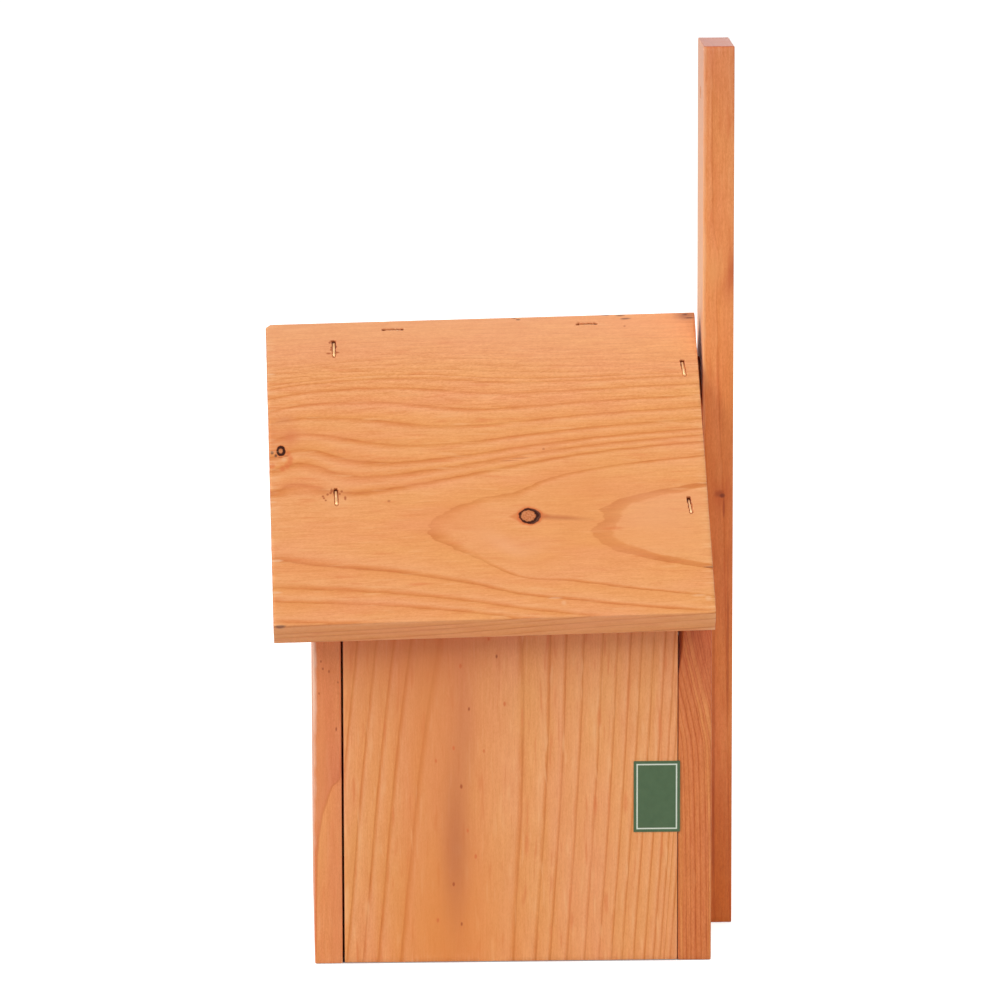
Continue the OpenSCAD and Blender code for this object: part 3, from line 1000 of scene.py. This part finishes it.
# radius and count of each dark line: nearest the pith they make the flame in the middle of the board
innerRings = [(80, -3.4), (94.6, -1.6), (101.8, -1.18), (102.0, -1.05), (102.4, -1.01), (102.78, -1),
              (102.88, -0.84), (108.2, -0.2), (109, 0), (109.06, 0.14)]
doorRoof = {
    "size": (roof["length"], roof["down"] + roof["thick"], roof["thick"]),
    "cuts": [((2.7, 0, 0), (-2, -2.7, 0))],
    "arris": 0.7,
    "grid": (2.4, 2.4, 4),
    "saw": 0.8,
    "seed": 3,
    "fuzz": 0.6,
    "grainy": [(35, 2.0), (80, 1.0)],
    "wander": 0.8,
    "ringStrength": (0.85, 1.0),
    "pithAcross": (137.3, 0.0223),
    "pithDepth": [(0, 111.9), (62, 110.2), (84, 109.05), (110, 107.4), (145, 104.5), (190, 101.2),
                  (236, 98.8)],
    "rings": innerRings + [(113.2, 1), (115.4, 2), (117.7, 3), (121.3, 4), (126.1, 5), (131.2, 6),
                           (136.4, 7), (140.4, 8), (141.8, 9), (180, 24)],
    "ringsFar": innerRings + [(113.6, 1), (117.8, 2), (121, 3), (126.6, 4), (132.9, 5), (140, 6),
                              (180, 14)],
    "fade": [(80, 1), (142, 1), (145, 0.4), (180, 0.35)],
    "shifts": [
        {"at": (49, 50.5), "reach": (66, 60), "lift": 13.3, "lean": 0.81, "grow": 0.57},
        {"at": (137, 145.3), "reach": (17.7, 24.5), "lift": -18.5},
        {"at": (15.7, 106.3), "reach": (18.2, 36.2), "lift": 5.4},
    ],
    "knots": [
        {"at": (139, 132.6), "reach": (22, 16), "push": 0.2},
        {"at": (139.2, 133.3), "size": (5.6, 5.2), "core": 0.7, "lopsided": (0.12, 0.04), "halo": 0.7,
         "tail": 38, "tailLean": 0.1, "double": True},
        {"at": (7, 85.5), "size": (2.4, 3.5), "core": 0.46, "halo": 0.4},
        {"at": (3.6, 81.8), "reach": (9, 6.8), "push": 0, "lift": 1.9},
    ],
    "dents": [{"at": (178, 137.2), "reach": (14, 6.4), "deeper": 0.75},
              {"at": (172, 148), "reach": (12, 6), "deeper": 0.2}],
    "stainsAndLight": [
        # painted light: a pale pink band along the eave edge, for light thrown up from the floor
        stainAndLight((118, 200.6), (600, 1.1), 0.55, (255, 180, 134)),
        stainAndLight((207, 135), (24, 15), 0.5, (241, 168, 122)),
        stainAndLight((120, 2), (400, 34), 0.6, (245, 176, 136)),
        stainAndLight((140, 145), (70, 30), 0.3, (236, 157, 94)),
        stainAndLight((127, 140), (16, 7), 0.4, (246, 180, 138)),
        stainAndLight((140, 154), (34, 2.6), 0.25, (228, 142, 82)),
        stainAndLight((167, 114), (26, 12), 0.4, (232, 147, 84)),
        stainAndLight((104, 132), (22, 12), 0.4, (232, 147, 84)),
        stainAndLight((195, 150), (40, 8), 0.3, (238, 156, 90)),
        stainAndLight((2, 88), (5, 10), 0.6, (226, 134, 80)),
        stainAndLight((12, 91), (4.5, 6.5), 0.6, (218, 122, 72)),
        stainAndLight((9, 78), (5, 3), 0.3, (212, 140, 106)),
        stainAndLight((36, 118), (7, 7), 0.3, (246, 184, 134)),
        stainAndLight((230.5, 3), (5.5, 3), 0.75, (158, 100, 84)),
    ],
    "marks": [
        mark("dirt", 0.7, (1.8, 0.7), (136.6, 0.6), (138.7, 1.8), (230.5, 1.6)),
        mark("dirt", 0.7, (3.4, 0.7), (187, 0.5), (194.7, 1.1), (197.5, 3.3), (232.5, 4),
             (4, 199.4, 0.4)),
        mark("dirt", 0.7, (0.5, 2, 12), (0, 199.4, 9)),
        mark("tornDeepAndShade", 0.7, (4, 0.45), (234.5, 170)),
        mark("spot", 0.5, (1.0, 0.9), (64.2, 120.7), (148.7, 89.4), (196.8, 8.4)),
        mark("spot", 0.4, (7, 0.5), (136, 95), (130, 96.4)),
        mark("halo", 0.35, (8, 1.3), (78.5, 175.3), (184, 143)),
        mark("pale", 0.6, (4.5, 0.9), (2, 34), (3, 157.6), (2, 178), (1, 119)),
        mark("pale", 0.35, (4.5, 0.9), (150, 187), (227, 188)),
        mark("pale", 0.35, (1.8, 2.0), (155, 190.3), (232, 190), (8.4, 91.2)),
        mark("ember", 0.6, (1.9, 2.6), (11, 88), (12, 90.5), (11.6, 93), (10, 95.4), (7.6, 97.2),
             (2, 95)),
        mark("bark", 0.8, (1.1, 1.5), (2.2, 86.4), (4.2, 88.6)),
        mark("fleck", 0.7, (2.4, 0.7), (6.6, 89.7), (9.4, 89)),
        mark("fleck", 0.8, (0.8, 0.9), (28.9, 116.4), (29.4, 117.6), (30.3, 119), (31.4, 115.2),
             (33, 114.3), (37.9, 115), (39, 113.4), (35.2, 13.8), (36.1, 12.8), (36, 17.2),
             (35.8, 18.6), (38.6, 16.6)),
        mark("fleck", 0.85, (0.9, 1.9), (40.8, 118), (33.6, 112.6)),
        mark("fleck", 0.8, (1.9, 0.8), (34.4, 21.1), (38.9, 20.6)),
    ],
    "tintAndShade": [(0, (244, 240, 228)), (100, (247, 244, 235)), (236, (249, 248, 236))],
    "staples": [
        {"at": (37.4, 18.2), "turn": 90, "dip": 0.7, "tear": 0.5},
        {"at": (36, 117.2), "turn": 88, "dip": 0.7, "tear": 0.6},
        {"at": (227.4, 38), "turn": 84, "dip": 0.7, "tear": 0.3},
        {"at": (225.7, 129.2), "turn": 84, "dip": 0.9, "tear": 0.15, "sunk": 0.25},
    ],
}
ridgeStaples = [
    {"at": (70, 6), "turn": 0, "sunk": 1.0, "slit": True},
    {"at": (176.2, 6), "turn": 0, "sunk": 1.0, "slit": True},
]
roofCrowns = list(doorRoof["staples"])
doorRoof["staples"] = roofCrowns + ridgeStaples
sawBoard("roofBoardOverDoor", doorRoof, doorRoofPlace, "box", "door_side_roof")
drivenStaples("roofStaplesOverDoor", roofCrowns, doorRoofPlace, "box", "door_side_roof_staples")
drivenStaples("ridgeStaples", ridgeStaples, doorRoofPlace, "box", "ridge_staples")

down, out = slopeOf(-1)
farEnd = ridgePoint + alongRidge * (roof["length"] - roof["frontOver"]) * mm
farRoofPlace = placeOf(farEnd + out * roof["thick"] * mm, -alongRidge, down)
farRoof = {
    "size": (roof["length"], roof["down"], roof["thick"]),
    "arris": 0.7,
    "grid": (3, 3, 4),
    "saw": 0.7,
    "seed": 8,
    "wander": 5.0,
    "pithAcross": (74, -0.05),
    "pithDepth": [(0, 58), (80, 52), (150, 60), (236, 74)],
    "ringWidth": 3.6,
    "knots": [tailedKnot((164, 108), (4.2, 3.8), (26, 18), 0.45, 26, -0.06)],
    "staples": [{"at": (roof["length"] - fromFront, down), "turn": 90, "dip": 0.9, "marks": marks}
                for fromFront, marks in ((37, 0.6), (226.5, 0.4)) for down in (33, 103)],
}
sawBoard("roofBoardFar", farRoof, farRoofPlace, "box", "fixed_side_roof")
drivenStaples("roofStaplesFar", farRoof["staples"], farRoofPlace, "box", "fixed_side_roof_staples")
print("roof made")


# Front board, with the entrance and the gable

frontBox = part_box("front_board")
frontPlace = placeOf((0, frontBox[0].y, 0), (0, 0, 1), (1, 0, 0))
halfWidth = frontBox[1].x / mm


def gableCuts(place):
    # the undersides of both roof boards, in the board's own millimetres
    back = place.inverted()
    cuts = []
    for side in (1, -1):
        out = slopeOf(side)[1]
        cuts.append((back @ ridgePoint, (back.to_3x3() @ out).normalized()))
    return cuts


def wallStaples(edge, low):
    # three upright ones into the side board's edge, and two level ones into the floor's edge
    upright = [{"at": (height, edge), "turn": 0, "tear": 0.4, "marks": 0.8, "sunk": 0.1}
               for height in (42, 104, 166)]
    level = [{"at": (low, across), "turn": 90, "tear": 0.4, "sunk": 0.1} for across in (-56, 56)]
    return upright + level


pivot = {
    "x": 102.5,
    "z": 179,
    "headRadius": 3.25,
    "headThick": 1.2,
    "rim": 0.3,             # round on the head's edge
    "nail": 1.5,            # radius
    "grip": 0.08,           # depth of the rings under the head
    "length": 45,
    "tip": 3,
    "pocket": 0.1,          # room round the head
    "play": 0.08,           # room round the nail in the door
}
entrance = {"height": 200, "radius": 22.5, "ease": 1.6}
pocketRadius = pivot["headRadius"] + pivot["pocket"]
nailPocket = [(0, -1), (pocketRadius, -1), (pocketRadius, pivot["headThick"]),
              (pivot["nail"], pivot["headThick"]), (pivot["nail"], 25), (0, 25)]


def easedHole(radius, ease, thick):
    # a straight bore whose rims open in a quarter round at both faces
    turns = [math.radians(90 * n / 4) for n in range(5)]
    mouth = [(radius + ease * (1 - math.sin(t)), ease * (1 - math.cos(t))) for t in turns]
    far = [(r, thick - d) for r, d in reversed(mouth)]
    wide = radius + ease
    return [(0, -2), (wide, -2)] + mouth + far + [(wide, thick + 2), (0, thick + 2)]


frontThick = (frontBox[1].y - frontBox[0].y) / mm
frontBoard = {
    "start": (0, -halfWidth, 0),
    "size": (frontBox[1].z / mm + 2, 2 * halfWidth, frontThick),
    "cuts": gableCuts(frontPlace),
    "arris": 0.8,
    "grid": (3, 3, 4),
    "saw": 0.5,
    "seed": 5,
    "wander": 2.2,
    "ringStrength": (0.55, 1.0),
    "pithAcross": (74, 0.02),
    "pithDepth": [(0, -36.2), (62, -35.6), (76, -34.4), (88, -31.6), (98, -28.2), (104, -24),
                  (130, -22.4), (318, -19)],
    "rings": [(14, -1), (24, 0), (34, 1), (51.5, 2), (72, 3), (79, 4), (85, 5), (200, 28)],
    "knots": [
        tailedKnot((88, -22), (5.2, 4.4), (34, 20), 0.5, 24, 0.05),
        {"at": (262, 34), "size": (3.6, 3.2), "reach": (24, 16), "push": 0.4},
    ],
    "tone": {"radius": 51.4, "half": 0.4, "inner": (238, 207, 197), "outer": (253, 242, 234)},
    "grainy": [(0, 1.3)],
    "marks": [
        # painted sheen: a pale strip where the front face meets the door-side edge, for the white
        # surround seen at a grazing angle
        mark("wearAndSheen", 1.0, (150, 9, 2.4), (210, halfWidth)),
        mark("spot", 0.9, (1.8, 4, 0.7), (129.5, 110, 12.3)),
        mark("spot", 0.6, (0.9, 4, 0.6), (166.5, 110, 4.3), (162.5, 110, 5.3), (161, 110, 8.6),
             (155, 110, 13.4), (149, 110, 3.2)),
    ],
    "stainsAndLight": [
        stainAndLight((100, 4.5), (56, 3.4), 0.45, (248, 180, 112), onEdge=True),
        stainAndLight((30, 11), (70, 4), 0.45, (224, 134, 84), onEdge=True),
    ],
    "staples": wallStaples(-pivot["x"], 7.5),
    "holes": [
        {"profile": easedHole(entrance["radius"], entrance["ease"], frontThick),
         "at": (entrance["height"], 0, 0), "down": (0, 0, 1), "segments": 96},
        {"profile": nailPocket, "at": (pivot["z"], pivot["x"], 0), "down": (0, 0, 1)},
    ],
}
sawBoard("frontBoard", frontBoard, frontPlace, "box", "front_board")
drivenStaples("frontStaples", frontBoard["staples"], frontPlace, "box", "front_staples")


# Back board, with its wane beside the door

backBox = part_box("back_board")
backPlace = placeOf((0, backBox[1].y, 0), (0, 0, 1), (-1, 0, 0))
backThick = (backBox[1].y - backBox[0].y) / mm
backBoard = {
    "start": (0, -halfWidth, 0),
    "size": (backBox[1].z / mm + 2, 2 * halfWidth, backThick),
    "cuts": gableCuts(backPlace),
    "arris": 0.7,
    "grid": (3, 3, 4),
    "saw": 0.5,
    "seed": 12,
    "wander": 1.2,
    "ringStrength": (0.85, 1.0),
    "paleRings": 0.5,
    "grainy": [(0, 1.6)],
    "pithAcross": (-92, 0.01),
    "pithDepth": [(0, 50), (110, 51), (132, 54), (152, 58.5), (176, 64), (202, 68), (318, 74)],
    "ringWidth": 1.9,
    "knots": [tailedKnot((226, 30), (4.8, 4.4), (30, 20), 0.5, 24, -0.08)],
    # darker towards the top is painted shade under the eave; the overall redder tone is the wood's own
    "tintAndShade": [(0, (230, 195, 163)), (140, (231, 195, 168)), (185, (217, 162, 132))],
    "wane": {"from": 158, "to": 206, "deep": 2.8, "wide": 7},
    "staples": wallStaples(pivot["x"], 7.5),
    "holes": [{"profile": nailPocket, "at": (pivot["z"], -pivot["x"], 0), "down": (0, 0, 1)}],
}
sawBoard("backBoard", backBoard, backPlace, "box", "back_board")
drivenStaples("backStaples", backBoard["staples"], backPlace, "box", "back_staples")
print("gable boards made")


# Fixed side and floor

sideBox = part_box("fixed_side")
sidePlace = placeOf((sideBox[0].x, 0, 0), (0, 0, 1), (0, -1, 0))
fixedSide = {
    "start": (0, -sideBox[1].y / mm, 0),
    "size": (sideBox[1].z / mm, (sideBox[1].y - sideBox[0].y) / mm, (sideBox[1].x - sideBox[0].x) / mm),
    "arris": 0.6,
    "grid": (3, 3, 4),
    "saw": 0.4,
    "seed": 17,
    "wander": 4.0,
    "pithAcross": (-20, 0.09),
    "pithDepth": [(0, 44), (90, 52), (191, 40)],
    "ringWidth": 4.2,
    "knots": [tailedKnot((118, 44), (4.4, 4.0), (26, 18), 0.45, 22, 0.08)],
    "staples": [{"at": (7.5, across), "turn": 90, "tear": 0.4, "marks": 0.3} for across in (-46, 46)],
}
sawBoard("fixedSide", fixedSide, sidePlace, "box", "fixed_side")
drivenStaples("sideStaples", fixedSide["staples"], sidePlace, "box", "side_staples")

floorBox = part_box("floor_board")
drainCut = 12
floorPlace = placeOf((0, 0, floorBox[0].z), (1, 0, 0), (0, 1, 0))
floorLow, floorHigh = floorBox[0] / mm, floorBox[1] / mm
drainCuts = []
for x, sideX in ((floorLow.x, -1), (floorHigh.x, 1)):
    for y, sideY in ((floorLow.y, -1), (floorHigh.y, 1)):
        drainCuts.append(((x - sideX * drainCut, y, 0), (sideX, sideY, 0)))
floorBoard = {
    "start": (floorLow.x, floorLow.y, 0),
    "size": (floorHigh.x - floorLow.x, floorHigh.y - floorLow.y, floorHigh.z - floorLow.z),
    "cuts": drainCuts,
    "arris": 0.6,
    "grid": (4, 4, 4),
    "saw": 0.4,
    "seed": 21,
    "wander": 3.0,
    "pithAcross": (16, 0.03),
    "pithDepth": [(-96, 40), (0, 48), (96, 42)],
    "ringWidth": 3.8,
}
sawBoard("floorBoard", floorBoard, floorPlace, "box", "floor_board")


# The door and its label

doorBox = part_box("side_door")
doorPlace = placeOf((doorBox[1].x, 0, 0), (0, 0, 1), (0, 1, 0))
doorLow, doorHigh = doorBox[0] / mm, doorBox[1] / mm
boreRadius, boreEnd = pivot["nail"] + pivot["play"], pivot["length"] - frontThick
bore = [(0, -1), (boreRadius, -1), (boreRadius, boreEnd), (0, boreEnd)]
doorBoard = {
    "start": (doorLow.z, doorLow.y, 0),
    "size": (doorHigh.z - doorLow.z, doorHigh.y - doorLow.y, doorHigh.x - doorLow.x),
    "arris": 0.5,
    "grid": (3, 3, 4),
    "saw": 0.45,
    "seed": 2,
    "fuzz": 0.3,
    "wander": 1.0,
    "ragged": 0.25,
    "streaky": 0.6,
    "line": (1.25, 0.3, 1.0),
    "ringStrength": (0.85, 1.0),
    "pithAcross": (-30.5, 0.075),
    "pithDepth": [(0, 66.8), (95, 67.8), (180, 70)],
    "rings": [(52, -1), (62, 0), (73.4, 1), (79.3, 2), (83.9, 3), (89.5, 4), (96.2, 5), (101.9, 6),
              (107.1, 7), (111.6, 8), (116.7, 9), (121.5, 10), (125.7, 11), (128.7, 12), (130.5, 13),
              (133.5, 14), (150, 20)],
    "stainsAndLight": [
        stainAndLight((90, -38), (220, 26), 0.5, (226, 132, 64)),
        stainAndLight((180, -62), (56, 50), 0.45, (226, 134, 76)),
        stainAndLight((22, -32), (44, 28), 0.55, (234, 144, 64)),
        stainAndLight((90, 45), (300, 58), 0.1, (248, 186, 132)),
        stainAndLight((128, -26.2), (34, 6), 0.35, (202, 120, 80)),
        stainAndLight((66, -31), (46, 7), 0.65, (192, 108, 66)),
    ],
    "marks": [
        mark("halo", 0.3, (7, 1.5), (86.5, 44.5), (87.5, 60.6), (134.7, 46.6), (64.4, 7.4),
             (22.3, 31.5), (32.3, 50.5)),
        mark("spot", 0.85, (1.5, 0.85), (168.5, -8.6), (139.9, -23.5), (97.5, -27.7), (43.6, -32),
             (21.6, -27.8)),
        mark("ember", 0.8, (1.6, 0.9), (142.5, -4.3), (116.8, -15.5), (163.5, -27.9),
             (118.6, -31.8), (111.6, -41.3), (178, -12.8), (73.1, -24.3), (58.8, -20),
             (23.8, -40.6)),
    ],
    # darker over its top is painted shade under the eave
    "tintAndShade": [(0, (253, 252, 243)), (150, (252, 249, 244)), (186, (245, 224, 216))],
    "holes": [
        {"profile": bore, "at": (pivot["z"], doorLow.y, doorHigh.x - pivot["x"]), "down": (0, 1, 0)},
        {"profile": bore, "at": (pivot["z"], doorHigh.y, doorHigh.x - pivot["x"]), "down": (0, -1, 0)},
    ],
}
sawBoard("door", doorBoard, doorPlace, "door", "side_door")

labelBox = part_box("label")
sticker = {
    "green": (77, 103, 70),
    "greenWorn": (72, 98, 66),
    "pale": (216, 224, 208),
    "frame": 1.9,           # mm from the edge to the middle of the pale line
    "line": 0.35,           # half its width
    "soft": 0.08,           # half the width of its blurred edge
    "cloud": 260,           # per metre
    "roughness": 0.42,
    "gloss": 0.4,
    "bump": 0.00002,
    "corner": 0.4,
}


def stickerMaterial():
    material = begin(bpy.data.materials.new("plainSticker"))
    size = (labelBox[1] - labelBox[0]) / mm
    parts = put("SeparateXYZ", {0: ownPoint((labelBox[0] + labelBox[1]) / 2, (0, 0, 0))}).outputs
    toSide = minus(size.y / 2, maths("ABSOLUTE", parts[1]))
    toEnd = minus(size.z / 2, maths("ABSOLUTE", parts[2]))
    offLine = maths("ABSOLUTE", minus(maths("MINIMUM", toSide, toEnd), sticker["frame"]))
    line = spread(offLine, sticker["line"] + sticker["soft"], sticker["line"] - sticker["soft"])
    cloud = noisy(put("TexCoord").outputs["Object"], sticker["cloud"], 3.0)
    green = mixed(spread(cloud, *usual), paint(*sticker["green"]), paint(*sticker["greenWorn"]))
    values = {"Base Color": washed(line, green, sticker["pale"]), "Roughness": sticker["roughness"],
              "Specular IOR Level": sticker["gloss"]}
    finishShader(values, cloud, sticker["bump"])
    return material


bm = bmesh.new()
bmesh.ops.create_cube(bm, size=1)
bmesh.ops.scale(bm, vec=(labelBox[1] - labelBox[0]) / mm, verts=bm.verts)
upright = [e for e in bm.edges if abs((e.verts[0].co - e.verts[1].co).normalized().x) > 0.9]
bmesh.ops.bevel(bm, geom=upright, offset=sticker["corner"], segments=3, profile=0.5,
                affect="EDGES", material=-1)
stickerPlace = Matrix.Translation((labelBox[0] + labelBox[1]) / 2) @ Matrix.Scale(mm, 4)
newPiece("sticker", bm, stickerPlace, stickerMaterial(), "door", ["label"], smooth=False)
print("door made")


# Hanging batten

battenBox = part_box("hanging_batten")
battenPlace = placeOf((0, battenBox[1].y, 0), (0, 0, 1), (-1, 0, 0))
battenSize = (battenBox[1] - battenBox[0]) / mm
batten = {
    "start": (0, -battenSize.x / 2, 0),
    "size": (battenSize.z, battenSize.x, battenSize.y),
    "arris": 0.7,
    "grid": (4, 3, 4),
    "saw": 0.5,
    "seed": 30,
    "wander": 0.8,
    "ringStrength": (0.6, 1.0),
    "plain": (236, 156, 98),
    "pithAcross": (-14, 0.0),
    "pithDepth": [(0, 60.5), (152, 63.3), (237, 65.3), (300, 68), (340, 69), (400, 71.4), (487, 72)],
    "rings": [(36, -3), (44.5, -2), (52.5, -1), (60.8, 0), (74, 1), (82, 2), (90, 3), (98, 4)],
    "grainy": [(0, 1.3)],
    "line": (1.1, 0.25, 1.0),
    "knots": [{"at": (370, 6), "onEdge": True, "reach": (12, 8), "push": 0, "lift": 3}],
    "stainsAndLight": [
        stainAndLight((363, 2.8), (13, 4), 0.75, (198, 98, 54), onEdge=True),
        stainAndLight((364, 12.5), (9, 4), 0.6, (240, 172, 116), onEdge=True),
        stainAndLight((240, 7), (7, 5), 0.55, (206, 104, 48), onEdge=True),
    ],
    "marks": [
        # painted sheen over the batten's front face and the edges beside it, for the white surround
        # seen at a grazing angle
        mark("wearAndSheen", 0.35, (900, 80, 2.6), (300, 0, battenSize.y + 0.5)),
        mark("tornEdge", 0.6, (50, 3, 0.9), (160, -battenSize.x / 2, 2.6)),
        # a dark line along the side where the batten meets the back board: a line in the wood, and
        # painted shade of the joint
        mark("tornEdge", 0.5, (110, 3, 1.2), (95, -battenSize.x / 2, 10.3)),
        mark("tornEdge", 0.8, (2.6, 3, 3.6), (241, -battenSize.x / 2, 7.4)),
        mark("tornEdge", 0.7, (7, 3, 0.9), (234, -battenSize.x / 2, 5.0)),
        mark("tornDeepAndShade", 0.7, (1.5, 3, 2), (240, -battenSize.x / 2, 5.9)),
    ],
    # partly the wood's own changes, and painted shade with reddish bounce light: darker and redder in
    # its lower part beside the box
    "tintAndShade": [(20, (233, 183, 120)), (60, (233, 192, 144)), (105, (252, 229, 196)),
             (181, (239, 205, 163)), (296, (252, 222, 188)), (345, (251, 234, 200)),
             (430, (243, 223, 205)), (485.5, (231, 208, 195)), (487, (228, 178, 136))],
    "holes": [{"profile": easedHole(3.5, 0.4, battenSize.y), "at": (battenSize.z - 28, 0, 0),
               "down": (0, 0, 1)}],
}
sawBoard("hangingBatten", batten, battenPlace, "box", "hanging_batten")
print("batten made")


# Nails and screws

def pivotNail(name, place, node):
    bm = bmesh.new()
    head, thick, shank, rim = pivot["headRadius"], pivot["headThick"], pivot["nail"], pivot["rim"]
    face = [(0, 0.02), (head - rim, 0.05), (head - rim * 0.3, rim * 0.3), (head, rim)]
    under = [(head, thick - 0.2), (head - 0.3, thick), (shank + 0.15, thick), (shank, thick + 0.3)]
    grips = [(shank - pivot["grip"] * (n % 2), thick + 0.8 + 0.5 * n) for n in range(9)]
    end = [(shank, thick + 6), (shank, pivot["length"] - pivot["tip"]),
           (shank / 4, pivot["length"]), (0, pivot["length"])]
    turned(bm, face + under + grips + end, (0, 0, 0), (0, 0, 1), 40)
    newPiece(name, bm, place, nailSteel, "box", [node])


nailAt = Vector((pivot["x"] * mm, frontBox[0].y, pivot["z"] * mm))
pivotNail("frontPivotNail", placeOf(nailAt, (0, 0, 1), (1, 0, 0)), "front_pivot_nail")
nailAt.y = backBox[1].y
pivotNail("backPivotNail", placeOf(nailAt, (0, 0, 1), (-1, 0, 0)), "back_pivot_nail")
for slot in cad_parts["batten_screws"].material_slots:
    slot.material = screwZinc
print("nails made")


# Studio: a pale floor, a white surround, and soft plain light

studio = {
    "surround": 0.43,           # light on the object from all round
    "lampAway": 3.2,
    "lampSize": 1.4,
    "lamps": {                  # degrees round from +X, degrees up, watts
        "key": (-55, 40, 37),
        "side": (25, 32, 24),
        "front": (-88, 18, 30),
        "rear": (160, 35, 22),
    },
    "floorRadius": 9.0,
    "floorGrey": 0.8,
    "floorSpeckle": 0.01,
    "floorGrain": 60.0,         # per metre
    "floorLift": 0.7,           # what the camera sees added to the floor's own light
    "footprint": (0.11, 0.107),  # half the object's base, and there is no lift under it
    "footprintEdge": 0.004,
    "target": (0, 0, 0.24),
}


def surround():
    # white to the camera and in reflections, and a plain level of light for the object
    world = begin(bpy.data.worlds.new("studio"))
    bpy.context.scene.world = world
    rays = put("LightPath").outputs
    seen = larger(rays["Is Camera Ray"], larger(rays["Is Glossy Ray"], rays["Is Transmission Ray"]))
    level = spread(seen, 0.0, 1.0, studio["surround"], 1.0)
    put("OutputWorld", {0: put("Background", {0: (1, 1, 1, 1), 1: level}).outputs[0]})


def softLamp(name, turn, lift, power):
    lamp = bpy.data.lights.new(name, "AREA")
    lamp.shape, lamp.size, lamp.energy = "DISK", studio["lampSize"], power
    turn, lift = math.radians(turn), math.radians(lift)
    away = Vector((math.cos(turn) * math.cos(lift), math.sin(turn) * math.cos(lift), math.sin(lift)))
    thing = bpy.data.objects.new(name, lamp)
    thing.location = Vector(studio["target"]) + away * studio["lampAway"]
    thing.rotation_euler = away.to_track_quat("Z", "Y").to_euler()
    bpy.context.scene.collection.objects.link(thing)


def floorMaterial():
    material = begin(bpy.data.materials.new("paleFloor"))
    coords = put("TexCoord").outputs["Object"]
    grey, speckle = studio["floorGrey"], studio["floorSpeckle"]
    grains = noisy(coords, studio["floorGrain"], 3.0)
    speckled = spread(grains, *usual, grey - speckle, grey + speckle)
    matt = put("BsdfDiffuse", {0: speckled})
    parts = put("SeparateXYZ", {0: coords}).outputs
    beyond = [minus(maths("ABSOLUTE", parts[n]), studio["footprint"][n]) for n in (0, 1)]
    lift = spread(larger(*beyond), -studio["footprintEdge"], 0.0, 0.0, studio["floorLift"])
    glow = put("Emission", {1: times(put("LightPath").outputs["Is Camera Ray"], lift)})
    both = put("AddShader", {0: matt.outputs[0], 1: glow.outputs[0]})
    put("OutputMaterial", {0: both.outputs[0]})
    return material


def layFloor():
    bm = bmesh.new()
    bmesh.ops.create_circle(bm, cap_ends=True, radius=studio["floorRadius"], segments=96)
    mesh = bpy.data.meshes.new("floor")
    bm.to_mesh(mesh)
    bm.free()
    mesh.materials.append(floorMaterial())
    floor = bpy.data.objects.new("floor", mesh)
    bpy.context.scene.collection.objects.link(floor)


surround()
for name, (turn, lift, power) in studio["lamps"].items():
    softLamp(name, turn, lift, power)
layFloor()

shot = {
    "target": (0, -0.0029, 0.2344),
    "distance": 3.6274,
    "turn": 1.908,              # degrees from +X towards the front
    "lift": 9.843,
    "roll": 0.126,
    "lens": 237.2,
    "sensor": 36,
    "clip": (0.1, 40),
}


def aimCamera():
    turn, lift, roll = (math.radians(shot[key]) for key in ("turn", "lift", "roll"))
    back = Vector((math.cos(turn) * math.cos(lift), -math.sin(turn) * math.cos(lift), math.sin(lift)))
    right = Vector((math.sin(turn), math.cos(turn), 0))
    up = back.cross(right)
    lens = bpy.data.cameras.new("camera")
    lens.lens, lens.sensor_width = shot["lens"], shot["sensor"]
    lens.clip_start, lens.clip_end = shot["clip"]
    camera = bpy.data.objects.new("camera", lens)
    level = right * math.cos(roll) - up * math.sin(roll)
    upright = right * math.sin(roll) + up * math.cos(roll)
    axes = Matrix((level, upright, back)).transposed().to_4x4()
    camera.matrix_world = Matrix.Translation(Vector(shot["target"]) + back * shot["distance"]) @ axes
    bpy.context.scene.collection.objects.link(camera)
    bpy.context.scene.camera = camera


aimCamera()
bpy.context.scene.view_settings.view_transform = "Standard"
print("studio ready")
